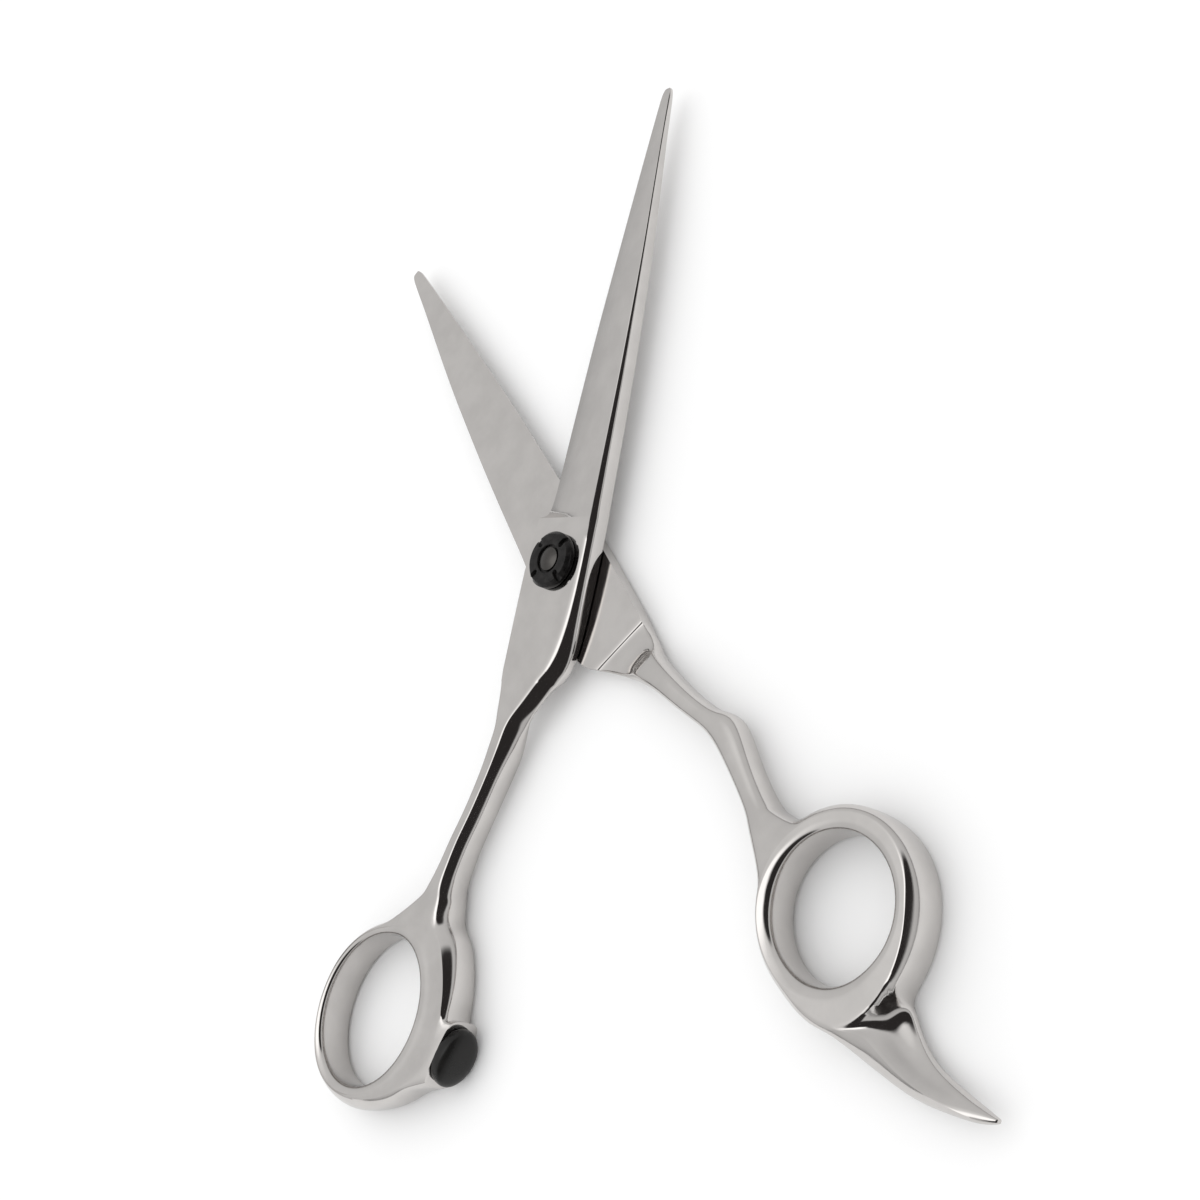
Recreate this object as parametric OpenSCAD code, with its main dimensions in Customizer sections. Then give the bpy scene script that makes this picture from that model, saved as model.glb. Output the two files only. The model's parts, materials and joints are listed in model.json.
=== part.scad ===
// Hair cutting shears: two half shears that cross on an adjustable pivot.
// Millimetres. The pivot axis is the Z axis, the nut is on top, the blades point along +Y and
// z = 0 is the plane the shears rest on. They are drawn open by open_angle.
//
// Both halves are made in one "half frame": cutting edge towards -X, handle below, the outer
// face up and the inner face just above z = 0. The finger half is the half frame turned over.

/* [Opening] */
// angle between the blades as drawn
open_angle = 46; // [30:1:60]

/* [Blades] */
// pivot axis to blade tip
blade_length = 79.6; // [76:0.2:84]
// thickness of a half shear at the pivot
stock = 2.9; // [2.7:0.1:3.0]
// clear space between the two inner faces
face_gap = 0.2; // [0.15:0.05:0.3]
// depth of the hollow ground into the inner face
hollow = 0.12; // [0.05:0.01:0.2]

/* [Handles] */
// size of the rings along the pivot axis
ring_height = 6.6; // [5.8:0.1:6.6]
// clear width of the round finger hole
finger_hole = 18.6; // [17.6:0.2:19.6]
// clear length of the oval thumb hole
thumb_hole_length = 24; // [23:0.2:25]
// clear width of the oval thumb hole
thumb_hole_width = 20.4; // [19.4:0.2:21]

/* [Pivot] */
// bolt shank diameter
bolt_d = 4; // [3.6:0.1:4.2]
// bolt head diameter
head_d = 8; // [7.6:0.1:8.4]
// tension nut diameter
nut_d = 8.8; // [8.4:0.1:9.2]
// tension nut thickness
nut_t = 1.3; // [1.1:0.1:1.5]

/* [Silencer] */
// rubber pad length across the handle
pad_length = 9; // [8:0.2:9.4]
// rubber pad width along the pivot axis
pad_width = 6.8; // [6:0.2:7]
// rubber pad height
pad_h = 2.8; // [2.0:0.1:2.8]

/* [Hidden] */
$fn = 64;

face_z = 3.3;                    // height of the plane half way between the inner faces
inner = face_gap / 2;            // inner face above the half frame's zero plane
weld_y = -17;                    // where blade and handle are welded together
run_fit = 0.05;                  // radial clearance of a running fit
overlap = 0.01;                  // how far a cutting tool runs past a face
steel = [0.74, 0.73, 0.72];
dark = [0.10, 0.10, 0.10];
brass = [0.78, 0.66, 0.40];
nylon = [0.93, 0.92, 0.88];

// ---- curves -------------------------------------------------------------------------------

// Point at s (0..1) between rows b and c of a table, bending smoothly through all four rows.
function bend(a, b, c, d, s) =
    0.5 * (2 * b + (c - a) * s + (2 * a - 5 * b + 4 * c - d) * s * s
           + (3 * b - a - 3 * c + d) * s * s * s);

// Row s of a table, 0..len-1, the rows in between filled in smoothly.
function row(table, s) =
    let (last = len(table) - 1, i = min(floor(s), last - 1))
    bend(table[max(i - 1, 0)], table[i], table[i + 1], table[min(i + 2, last)], s - i);

function lerp(a, b, s) = a + (b - a) * s;

function turned(p, angle) =
    [p.x * cos(angle) - p.y * sin(angle), p.x * sin(angle) + p.y * cos(angle), p.z];

function middle(ring) = [for (axis = [0 : 2]) sum([for (p = ring) p[axis]]) / len(ring)];

function sum(list, i = 0) = i < len(list) ? list[i] + sum(list, i + 1) : 0;

// Solid through a list of rings of points. Each ring runs anticlockwise seen from the last one.
module loft(rings) {
    n = len(rings[0]);
    m = len(rings);
    start = n * m;
    points = [for (ring = rings) each ring, middle(rings[0]), middle(rings[m - 1])];
    sides = [for (i = [0 : m - 2], j = [0 : n - 1])
             let (a = i * n + j, b = i * n + (j + 1) % n)
             each [[a, b + n, b], [a, a + n, b + n]]];
    first = [for (j = [0 : n - 1]) [start, j, (j + 1) % n]];
    last = [for (j = [0 : n - 1]) [start + 1, start - n + (j + 1) % n, start - n + j]];
    polyhedron(points = points, faces = [each sides, each first, each last]);
}

// ---- cross sections, 16 points each, starting at the lower left corner -----------------------

// Ground section of a blade: left edge, right edge, height at the left, height at the ridge,
// how far the ridge stands in from the right, corner rounding, hollow.
function blade_section(left, right, low, high, ridge_in, corner, dip) =
    let (top_left = left + corner, ridge = right - ridge_in, bulge = 0.05 * (high - low))
    [for (t = [0 : 0.25 : 1]) [lerp(left, right, t), inner + 4 * dip * t * (1 - t)],
     [right, inner + 0.35 * high],
     [right - 0.1 * ridge_in, inner + 0.62 * high],
     [right - 0.4 * ridge_in, inner + 0.86 * high],
     for (t = [0 : 0.25 : 1])
         [lerp(ridge, top_left, t), inner + lerp(high, low, t) + 4 * bulge * t * (1 - t)],
     [left + 0.25 * corner, inner + 0.86 * low],
     [left, inner + 0.6 * low],
     [left, inner + 0.3 * low]];

// Rounded box section about the middle of its width.
function oval_section(half_width, low, high, power = 0.75) =
    [for (i = [0 : 15])
     let (angle = 225 + 22.5 * i, c = cos(angle), s = sin(angle))
     [half_width * sign(c) * pow(abs(c), power),
      (high + low) / 2 + (high - low) / 2 * sign(s) * pow(abs(s), power)]];

// ---- blade ---------------------------------------------------------------------------------

// y, cutting edge x, spine x, height at the edge, height at the ridge, ridge inset, corner, hollow
blade_table = [
    [weld_y, -6.6, 5.2, stock, stock, 0.6, 0.5, 0],
    [-14, -6.6, 6.3, stock, stock, 0.6, 0.5, 0],
    [-8, -6.6, 6.8, stock, stock, 0.6, 0.5, 0],
    [0, -6.5, 6.9, stock, stock, 0.6, 0.5, 0],
    [6.5, -5.9, 6.8, stock, stock, 0.6, 0.5, 0],
    [8.5, -5.8, 6.7, 0.5 * stock, stock, 0.6, 0.3, 0],
    [11, -5.9, 6.6, 0.4, 0.98 * stock, 0.6, 0.05, hollow],
    [20, -5.4, 6.2, 0.3, 0.95 * stock, 0.6, 0, hollow],
    [30, -4.9, 5.7, 0.3, 0.88 * stock, 0.65, 0, hollow],
    [40, -4.3, 5.0, 0.3, 0.8 * stock, 0.7, 0, hollow],
    [50, -3.5, 4.2, 0.3, 0.7 * stock, 0.7, 0, hollow],
    [60, -2.7, 3.1, 0.3, 0.56 * stock, 0.6, 0, 0.8 * hollow],
    [70, -1.85, 1.9, 0.3, 0.38 * stock, 0.4, 0, 0.5 * hollow],
    [75, -1.3, 1.3, 0.3, 0.3 * stock, 0.3, 0, 0],
    [blade_length - 1, -0.85, 0.8, 0.3, 0.22 * stock, 0.2, 0, 0],
    [blade_length, -0.3, 0.3, 0.25, 0.15 * stock, 0.1, 0, 0]];

function blade_ring(r) =
    [for (p = blade_section(r[1], r[2], min(r[3], stock), min(r[4], stock), r[5], r[6], r[7]))
     [p.x, r[0], p.y]];

// The whole blade from the weld to the tip, without its pivot bore.
module blade_blank() {
    last = len(blade_table) - 1;
    loft([for (s = [last : -0.5 : 0]) blade_ring(row(blade_table, s))]);
}

// ---- handles -------------------------------------------------------------------------------

// Arms grow out of their ring, from the ring outwards. Columns: x and y of the middle, turn of
// the section, half width, underside, top, and 1 for an oval .. 0 for a blade section.
thumb_shank = [
    [-11.9, -54.6, -2, 4.4, -3.0, 3.0, 1],
    [-11.4, -51.6, -3, 2.4, -2.9, 2.9, 1],
    [-10.9, -48.5, -8, 1.9, -2.7, 2.7, 1],
    [-9.8, -44.5, -15, 1.8, -2.6, 2.6, 1],
    [-7.9, -39, -19, 1.8, -2.5, 2.5, 1],
    [-6.0, -33, -16, 1.9, -2.5, 2.6, 1],
    [-4.9, -28.5, -10, 2.15, -2.3, 2.8, 1],
    [-3.9, -24.9, -5, 2.85, -1.0, 2.9, 0.8],
    [-3.0, -22.7, -2, 3.6, 0.1, 2.9, 0.6],
    [-1.9, -20, 0, 4.7, inner, 2.95, 0.3],
    [-0.7, weld_y, 0, 5.9, inner, inner + stock, 0]];

finger_shank = [
    [-8.6, -60.4, -2, 2.9, -2.8, 2.8, 1],
    [-9.1, -56.5, 4, 2.0, -2.5, 2.5, 1],
    [-9.6, -51, 3, 2.0, -2.3, 2.3, 1],
    [-10.2, -45.8, -1, 2.4, -2.3, 2.3, 1],
    [-10.0, -42.8, -4, 2.4, -2.2, 2.2, 1],
    [-8.9, -40.4, -10, 1.7, -2.1, 2.1, 1],
    [-7.1, -35.5, -14, 1.7, -2.1, 2.2, 1],
    [-5.5, -30, -14, 1.95, -2.1, 2.4, 1],
    [-3.9, -25.1, -6, 2.85, -1.0, 2.8, 0.8],
    [-3.0, -22.7, -2, 3.6, 0.1, 2.85, 0.6],
    [-1.9, -20, 0, 4.7, inner, 2.95, 0.3],
    [-0.7, weld_y, 0, 5.9, inner, inner + stock, 0]];

// the curved finger rest below the finger ring
tang = [
    [-8.6, -91.2, 166, 4.6, -2.9, 2.9, 1],
    [-8.8, -95, 160, 3.2, -2.8, 2.8, 1],
    [-10.1, -99.3, 153, 2.3, -2.4, 2.4, 1],
    [-12.4, -103.5, 149, 1.65, -1.9, 1.9, 1],
    [-14.5, -106.8, 144, 1.0, -1.2, 1.2, 1],
    [-16, -108.6, 142, 0.3, -0.5, 0.5, 1]];

// Rings of points for an arm, steps sections between the rows of its table.
function arm(table, steps = 2) =
    [for (i = [0 : steps * (len(table) - 1)]) arm_section(row(table, i / steps))];

function arm_section(r) =
    let (side = r[3],
         ground = blade_section(-side, side, r[5] - inner, r[5] - inner, 0.6, 0.5, 0),
         oval = oval_section(side, r[4], r[5]))
    [for (i = [0 : 15])
     let (p = lerp(ground[i], oval[i], r[6]))
     turned([p.x, 0, p.y], r[2]) + [r[0], r[1], 0]];

ring_steps = 36;

// Rings of points around an oval hole, clockwise from the angle start. The wall thickness at
// each angle comes from the list walls, evenly spread from -180 degrees on.
function ring_sections(hole_x, hole_y, walls, start, lean, place) =
    [for (i = [0 : ring_steps - 1])
     let (angle = start - 360 * i / ring_steps,
          wall = row([each walls, walls[0], walls[1]], len(walls) * ((angle + 540) % 360) / 360),
          c = cos(angle), s = sin(angle), slope = atan2(hole_x * s, hole_y * c))
     [for (p = oval_section(wall / 2, -ring_height / 2, ring_height / 2, 0.7))
      let (out = p.x + wall / 2)
      turned([hole_x * c + out * cos(slope), hole_y * s + out * sin(slope), p.y], lean)
      + [place.x, place.y, 0]]];

// Number of the ring point that point k of an arm section joins, for an arm on steps u to u + 4.
function joint_point(u, k) =
    let (step = k <= 4 ? u + k : k <= 8 ? u + 4 : k <= 12 ? u + 12 - k : u,
         side = k <= 4 ? 4 : k <= 8 ? k : k <= 12 ? 8 : 20 - k)
    (step % ring_steps) * 16 + side;

// A ring with arms growing out of its outer side, as one skin. Each arm is [step, sections].
module ring_with_arms(ring, arms) {
    ring_points = [for (section = ring) each section];
    arm_sizes = [for (a = arms) 16 * len(a[1]) + 1];
    arm_starts = [for (a = [0 : len(arms) - 1])
                  len(ring_points) + sum([for (b = [0 : 1 : a - 1]) arm_sizes[b]])];
    arm_points = [for (a = arms) each [for (section = a[1]) each section,
                                       middle(a[1][len(a[1]) - 1])]];
    ring_faces = [for (i = [0 : ring_steps - 1], j = [0 : 15])
                  let (next = (i + 1) % ring_steps, up = (j + 1) % 16,
                       open = [for (a = arms) if ((i - a[0] + ring_steps) % ring_steps < 4) a])
                  if (j < 4 || j > 7 || len(open) == 0)
                      each [[i * 16 + j, next * 16 + up, i * 16 + up],
                            [i * 16 + j, next * 16 + j, next * 16 + up]]];
    arm_faces = [for (a = [0 : len(arms) - 1])
                 let (first = arm_starts[a], count = len(arms[a][1]), top = first + 16 * count)
                 each [for (i = [0 : count], k = [0 : 15])
                       let (up = (k + 1) % 16,
                            here = i == 0 ? joint_point(arms[a][0], k) : first + 16 * (i - 1) + k,
                            there = i == 0 ? joint_point(arms[a][0], up) : first + 16 * (i - 1) + up)
                       each i < count
                           ? [[here, there, first + 16 * i + up],
                              [here, first + 16 * i + up, first + 16 * i + k]]
                           : [[here, there, top]]]];
    polyhedron(points = [each ring_points, each arm_points],
               faces = [each ring_faces, each arm_faces]);
}

// ---- placing ---------------------------------------------------------------------------------

module thumb_half() {
    translate([0, 0, face_z])
        rotate([0, 0, -open_angle / 2])
            children();
}

module finger_half() {
    translate([0, 0, face_z])
        rotate([0, 0, open_angle / 2])
            rotate([0, 180, 0])
                children();
}

// ---- finger half ---------------------------------------------------------------------------

finger_ring = [-12.1, -75.8];    // middle of the finger hole
// thickness of the finger ring seen from above, every 20 degrees from -180
finger_walls = [3.7, 3.7, 3.7, 4.0, 4.6, 5.6, 6.0, 5.0, 3.8, 3.4, 3.3, 3.4, 3.6, 3.7, 3.7, 3.7, 3.7, 3.7];

module finger_blade() {
    color(steel)
        finger_half()
            difference() {
                blade_blank();
                bore(bolt_d);
                // counterbore for the bolt head in the outer face
                translate([0, 0, head_seat])
                    cylinder(d = head_d, h = stock);
                // recess for the washer in the inner face
                translate([0, 0, -stock])
                    cylinder(d = washer_d + 2 * run_fit, h = stock + inner + washer_sunk);
            }
}

module finger_handle() {
    start = 95;
    shank_step = 0;
    tang_step = 15;
    color(steel)
        finger_half()
            ring_with_arms(
                ring_sections(finger_hole / 2, finger_hole / 2, finger_walls,
                              start, 0, finger_ring),
                [[shank_step, arm(finger_shank)], [tang_step, arm(tang)]]);
}

// ---- pivot ---------------------------------------------------------------------------------
// Heights in this section are measured from the plane half way between the inner faces.

washer_d = 9;                    // ride washer between the blades
washer_sunk = 0.25;              // part of the ride washer let into the finger blade
washer_t = washer_sunk + 0.15;
bush_d = 5.4;                    // bushing outside diameter
flange_d = 7;                    // bushing flange and the washers above it
flange_t = 0.3;
pocket_d = 7.6;                  // pocket in the thumb blade for flange, washers and click plate
pocket_floor = inner + stock - 1.5;
spring_t = 0.2;                  // spring washer sheet thickness
spring_rise = 0.2;               // how far a spring washer is dished
stack_gap = 0.04;                // clearance between stacked pieces
head_seat = inner + stock - 0.9; // depth of the bolt head seat, measured in the half frame
head_bottom = -face_z;           // the bolt head stands on the resting plane
thread_d = bolt_d - 0.4;         // threaded end, drawn plain
nut_gap = 0.15;                  // clearance between the nut and the thumb blade
nut_bottom = inner + stock + nut_gap;
dome_d = 3.4;                    // round end of the bolt seen inside the nut
bolt_top = nut_bottom + nut_t - 0.15;

module bore(d) {
    translate([0, 0, -stock])
        cylinder(d = d, h = 3 * stock);
}

module at_faces() {
    translate([0, 0, face_z])
        children();
}

module pivot_bolt() {
    color(steel)
        at_faces()
            union() {
                translate([0, 0, head_bottom])
                    cylinder(d = head_d, h = -head_seat - head_bottom);
                translate([0, 0, head_bottom])
                    cylinder(d = bolt_d, h = nut_bottom - stack_gap - head_bottom);
                translate([0, 0, head_bottom])
                    cylinder(d = thread_d, h = bolt_top - head_bottom);
                // domed end
                translate([0, 0, bolt_top])
                    intersection() {
                        translate([0, 0, -thread_d])
                            sphere(r = sqrt(thread_d * thread_d + thread_d * thread_d / 4));
                        cylinder(d = thread_d, h = bolt_d);
                    }
            }
}

module blade_washer() {
    color(nylon)
        at_faces()
            difference() {
                translate([0, 0, -inner - washer_sunk])
                    cylinder(d = washer_d, h = washer_t);
                bore(bush_d + 4 * run_fit);
            }
}

module pivot_bushing() {
    color(brass)
        at_faces()
            difference() {
                union() {
                    translate([0, 0, inner])
                        cylinder(d = bush_d, h = pocket_floor - inner);
                    translate([0, 0, pocket_floor])
                        cylinder(d = flange_d, h = flange_t);
                }
                bore(bolt_d + 2 * run_fit);
            }
}

// Dished ring with its wide edge at the given height, dished up or down.
module dished_ring(height, rise) {
    inner_r = bolt_d / 2 + run_fit;
    outer_r = flange_d / 2;
    at_faces()
        translate([0, 0, height])
            rotate_extrude()
                polygon([[outer_r, 0], [outer_r, spring_t],
                         [inner_r, rise + spring_t], [inner_r, rise]]);
}

lower_spring_z = pocket_floor + flange_t + stack_gap;
upper_spring_z = lower_spring_z + 2 * spring_rise + spring_t + stack_gap;
click_z = upper_spring_z + spring_t + stack_gap;
click_t = nut_bottom - stack_gap - click_z;

module spring_washer_lower() {
    color(steel)
        dished_ring(lower_spring_z, spring_rise);
}

module spring_washer_upper() {
    color(steel)
        dished_ring(upper_spring_z, -spring_rise);
}

// Plate with four dimples that the nut clicks into.
module click_plate() {
    color(steel)
        at_faces()
            difference() {
                translate([0, 0, click_z])
                    cylinder(d = flange_d, h = click_t);
                bore(bolt_d + 2 * run_fit);
                for (angle = [0 : 90 : 270])
                    rotate([0, 0, angle])
                        translate([2.8, 0, click_z + click_t / 2])
                            cylinder(d = 0.6, h = click_t);
            }
}

// Flat nut turned with a four-pin key.
module tension_nut() {
    chamfer = 0.25;
    notch_w = 1.1;
    notch_depth = 1.5;
    recess = 0.5;
    color(dark)
        at_faces()
            translate([0, 0, nut_bottom])
                difference() {
                    rotate_extrude()
                        polygon([[0, 0], [nut_d / 2, 0], [nut_d / 2, nut_t - chamfer],
                                 [nut_d / 2 - chamfer, nut_t], [0, nut_t]]);
                    translate([0, 0, -overlap])
                        cylinder(d = thread_d + 2 * run_fit, h = 2 * nut_t);
                    translate([0, 0, nut_t - recess])
                        cylinder(d = dome_d + 1.0, h = nut_t);
                    for (angle = [22 : 90 : 292])
                        rotate([0, 0, angle])
                            translate([nut_d / 2 - notch_depth, 0, -overlap]) {
                                cylinder(d = notch_w, h = 2 * nut_t);
                                translate([0, -notch_w / 2, 0])
                                    cube([nut_d, notch_w, 2 * nut_t]);
                            }
                }
}

// ---- thumb half ----------------------------------------------------------------------------

thumb_ring = [-20.4, -70.6];     // middle of the thumb hole
// thickness of the thumb ring seen from above, every 20 degrees from -180
thumb_walls = [2.1, 2.2, 2.4, 2.8, 3.3, 3.5, 3.6, 3.8, 4.6, 5.8, 6.7, 7.2, 7.3, 7.0, 4.4, 2.4, 2.0, 2.0];
thumb_lean = -33;                // lean of the long axis of the thumb hole
pad_seat = [-2.7, -74.0];        // middle of the pad's flat back
pad_angle = -18;                 // direction the pad faces
stud_d = 2;
stud_sunk = 2.5;                 // length of the stud in the handle
stud_in_pad = 1.2;               // length of the stud in the pad

module thumb_blade() {
    color(steel)
        thumb_half()
            difference() {
                blade_blank();
                bore(bush_d);
                translate([0, 0, pocket_floor])
                    cylinder(d = pocket_d, h = stock);
            }
}

module on_pad_seat() {
    translate([pad_seat.x, pad_seat.y, 0])
        rotate([0, 0, pad_angle])
            rotate([0, 90, 0])
                children();
}

// Short corner that carries the silencer, from the ring outwards.
function corner(lift) =
    [for (p = oval_section(5.6, -2.9, 2.9))
     turned([p.x, lift, p.y], pad_angle - 90) + [pad_seat.x, pad_seat.y, 0]];

module thumb_handle() {
    start = 125;
    shank_step = 0;
    corner_step = 9;
    color(steel)
        thumb_half()
            difference() {
                ring_with_arms(
                    ring_sections(thumb_hole_width / 2, thumb_hole_length / 2, thumb_walls,
                                  start, thumb_lean, thumb_ring),
                    [[shank_step, arm(thumb_shank)], [corner_step, [corner(0)]]]);
                on_pad_seat()
                    translate([0, 0, -stud_sunk])
                        cylinder(d = stud_d, h = 2 * stud_sunk);
            }
}

// Oval dome: a short straight edge, then a rounded cap.
module silencer_pad() {
    straight = 0.45 * pad_h;
    function outline(scale, lift) =
        [for (i = [0 : 23])
         [pad_width / 2 * scale * cos(15 * i), pad_length / 2 * scale * sin(15 * i), lift]];
    color(dark)
        thumb_half()
            on_pad_seat()
                difference() {
                    loft([outline(1, 0),
                          for (a = [0 : 15 : 75])
                              outline(cos(a), straight + (pad_h - straight) * sin(a))]);
                    translate([0, 0, -stud_in_pad])
                        cylinder(d = stud_d, h = 2 * stud_in_pad);
                }
}

// Threaded stud moulded into the pad, drawn plain.
module silencer_stud() {
    color(steel)
        thumb_half()
            on_pad_seat()
                translate([0, 0, -stud_sunk])
                    cylinder(d = stud_d, h = stud_sunk + stud_in_pad);
}

finger_blade();
finger_handle();
pivot_bolt();
blade_washer();
spring_washer_lower();
spring_washer_upper();
click_plate();
thumb_blade();
thumb_handle();
pivot_bushing();
silencer_pad();
silencer_stud();
tension_nut();
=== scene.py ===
"""Hair cutting shears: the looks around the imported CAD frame.

The two half shears are modelled again as smooth subdivided steel. Both are made in one "half
frame": cutting edge towards -X, handle below, outer face up, inner face just above z = 0.
Their tables are in millimetres, the objects in metres.
"""

import json
import math

import bmesh
import bpy
from mathutils import Matrix, Vector

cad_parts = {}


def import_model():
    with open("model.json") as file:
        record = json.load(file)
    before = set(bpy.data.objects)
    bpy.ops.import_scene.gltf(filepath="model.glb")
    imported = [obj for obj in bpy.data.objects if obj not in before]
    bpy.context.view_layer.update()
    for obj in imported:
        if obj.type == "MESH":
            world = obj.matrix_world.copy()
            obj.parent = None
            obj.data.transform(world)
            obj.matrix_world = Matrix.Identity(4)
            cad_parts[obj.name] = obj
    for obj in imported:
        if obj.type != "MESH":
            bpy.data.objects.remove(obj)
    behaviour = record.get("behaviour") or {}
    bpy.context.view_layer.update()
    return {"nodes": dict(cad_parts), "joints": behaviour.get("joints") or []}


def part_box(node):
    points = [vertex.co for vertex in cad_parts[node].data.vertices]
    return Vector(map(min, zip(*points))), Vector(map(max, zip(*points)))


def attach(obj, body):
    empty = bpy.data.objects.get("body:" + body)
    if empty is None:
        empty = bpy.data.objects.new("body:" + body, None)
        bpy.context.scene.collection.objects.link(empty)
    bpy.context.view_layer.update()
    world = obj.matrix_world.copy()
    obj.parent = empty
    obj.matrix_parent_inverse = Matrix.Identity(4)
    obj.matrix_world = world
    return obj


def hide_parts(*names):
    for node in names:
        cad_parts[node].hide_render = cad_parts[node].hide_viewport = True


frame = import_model()

MM = 0.001
NODES = frame["nodes"]
JOINTS = {joint["name"]: joint for joint in frame["joints"]}
FACE_Z = JOINTS["blade_hinge"]["pos_m"][2]      # plane half way between the inner faces
OPEN_ANGLE = math.radians(46)
NUT_LOW, NUT_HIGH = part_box("tension_nut")

# ---- driving dimensions, millimetres ----------------------------------------------------------

STOCK = 2.9              # thickness of a half shear at the pivot
INNER = 0.1              # inner face above the half frame's zero plane
HOLLOW = 0.12            # hollow ground into the inner face
WELD_Y = -17             # where blade and handle are welded together
TIP_Y = 79.6             # blade tip
GROUND_Y = 6.9           # the ground outer face starts here
RING_HEIGHT = 6.6        # size of the rings along the pivot axis
RING_STEPS = 36          # sections round a finger ring
FINGER_RING = (-12.1, -75.8)
FINGER_HOLE = (9.3, 9.3)
THUMB_RING = (-20.4, -70.6)
THUMB_HOLE = (10.2, 12.0)
THUMB_LEAN = -33         # turn of the oval thumb ring, degrees
PAD_SEAT = (-2.7, -74.0)
PAD_ANGLE = -18          # direction in which the silencer pad points, degrees
PAD_LENGTH = 9.0
PAD_WIDTH = 6.8
PAD_HEIGHT = 2.8
HEAD_DIAMETER = 8.0
WASHER_DIAMETER = 9.1
WASHER_SUNK = 0.25
BUSH_DIAMETER = 5.4
POCKET_DIAMETER = 7.6
POCKET_FLOOR = INNER + STOCK - 1.5
HEAD_SEAT = INNER + STOCK - 0.9
BOLT_DIAMETER = 4.0
NUT_BORE_RADIUS = 1.85
NUT_RECESS_RADIUS = 2.2
NUT_RECESS_DEPTH = 0.5
NUT_RECESS_EDGE = 0.1
NUT_CHAMFER = 0.5
NUT_EDGE = 0.06          # rounding of the nut's edges
SLOT_WIDTH = 0.9
SLOT_DEPTH = 1.3
SLOT_FLOOR = 0.45        # height of the slot floor, as a share of the nut's height
SLOT_ANGLES = (22, 112, 202, 292)

# ---- subdivided skins --------------------------------------------------------------------------

SECTION_POINTS = 16      # points round every cross section
QUARTER = SECTION_POINTS // 4
CREST = 2 * QUARTER      # point of a section that runs along its crest
EDGES = (0, QUARTER, 3 * QUARTER)      # points along the other edges of a blade
STEPS_PER_ROW = 2        # sections made from one row of a table to the next
SUBDIVISIONS = 2
# ring steps where the arms start; each arm stands on the next QUARTER steps
SHANK_STEP = 0
PAD_CORNER_STEP = 9
TANG_STEP = 15
FINGER_CREST_STEP = 24   # where the crease along the finger ring's crest ends
# angle of a ring's first section, degrees; the sections run clockwise from it
THUMB_RING_START = 125
FINGER_RING_START = 95
# creases, 0 round .. 1 sharp
EDGE_FADE = (-25, -19)   # y where the blade's edges start to crease, and are fully creased
CREST_FADE = (-10, 25)   # y where the crest starts to sharpen, and is sharpest
CREST_CREASES = (0.35, 0.8)
GROUND_START_CREASE = 0.9
THUMB_RING_CREASE = 0.45
PAD_CORNER_CREASE = 0.8
FINGER_RING_CREASE = 0.4
TANG_CREASE = 0.7

# ---- studio ------------------------------------------------------------------------------------

# (height of the direction, grey of the tent): height 0 is level with the floor, 1 straight up
TENT_LEVELS = [(0.0, 0.1), (0.12, 0.22), (0.3, 0.25), (0.7, 0.27), (0.88, 0.35), (0.96, 0.6)]
TENT_STRENGTH = 2.6
LIGHTING_LEVEL = (0.41, 0.41, 0.41)    # even level that all but reflections see
DARK_COLOUR = (0.012, 0.011, 0.011)
DARK_CENTRES = ((-10, 32), (-45, 36), (-80, 36))   # azimuth and elevation, degrees
DARK_RADIUS, DARK_OUTER_RADIUS = 33, 46            # fully dark within, pale beyond, degrees
DARK_LOW, DARK_FULL = 15, 22           # elevation where the dark area starts and is full, degrees
FLOOR_IN_REFLECTIONS = (0.78, 0.78, 0.78)

# ---- cross sections along the blade, shanks and finger rest -------------------------------------

# y, cutting edge x, spine x, height at the edge, height at the ridge, ridge inset, corner, hollow
BLADE = [
    (WELD_Y, -6.6, 5.2, STOCK, STOCK, 2.0, 0.3, 0),
    (-14, -6.6, 6.3, STOCK, STOCK, 1.7, 0.3, 0),
    (-8, -6.6, 6.8, STOCK, STOCK, 1.2, 0.3, 0),
    (0, -6.5, 6.9, STOCK, STOCK, 0.95, 0.3, 0),
    (GROUND_Y - 0.8, -5.9, 6.8, STOCK, STOCK, 0.95, 0.3, 0),
    (GROUND_Y, -5.9, 6.8, STOCK, STOCK, 0.95, 0.3, 0),
    (GROUND_Y + 0.8, -5.85, 6.75, 0.5 * STOCK, STOCK, 0.95, 0.15, 0),
    (GROUND_Y + 3, -5.9, 6.6, 0.35, 0.99 * STOCK, 0.9, 0.05, HOLLOW),
    (20, -5.4, 6.2, 0.3, 0.95 * STOCK, 0.75, 0, HOLLOW),
    (30, -4.9, 5.7, 0.3, 0.88 * STOCK, 0.6, 0, HOLLOW),
    (40, -4.3, 5.0, 0.3, 0.8 * STOCK, 0.45, 0, HOLLOW),
    (50, -3.5, 4.2, 0.3, 0.7 * STOCK, 0.3, 0, HOLLOW),
    (60, -2.7, 3.1, 0.3, 0.56 * STOCK, 0.25, 0, 0.8 * HOLLOW),
    (70, -1.85, 1.9, 0.3, 0.38 * STOCK, 0.2, 0, 0.5 * HOLLOW),
    (75, -1.4, 1.4, 0.3, 0.3 * STOCK, 0.2, 0, 0),
    (TIP_Y - 1.4, -1.05, 1.0, 0.3, 0.22 * STOCK, 0.2, 0, 0),
    (TIP_Y - 0.4, -0.55, 0.5, 0.25, 0.15 * STOCK, 0.1, 0, 0),
]

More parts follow.
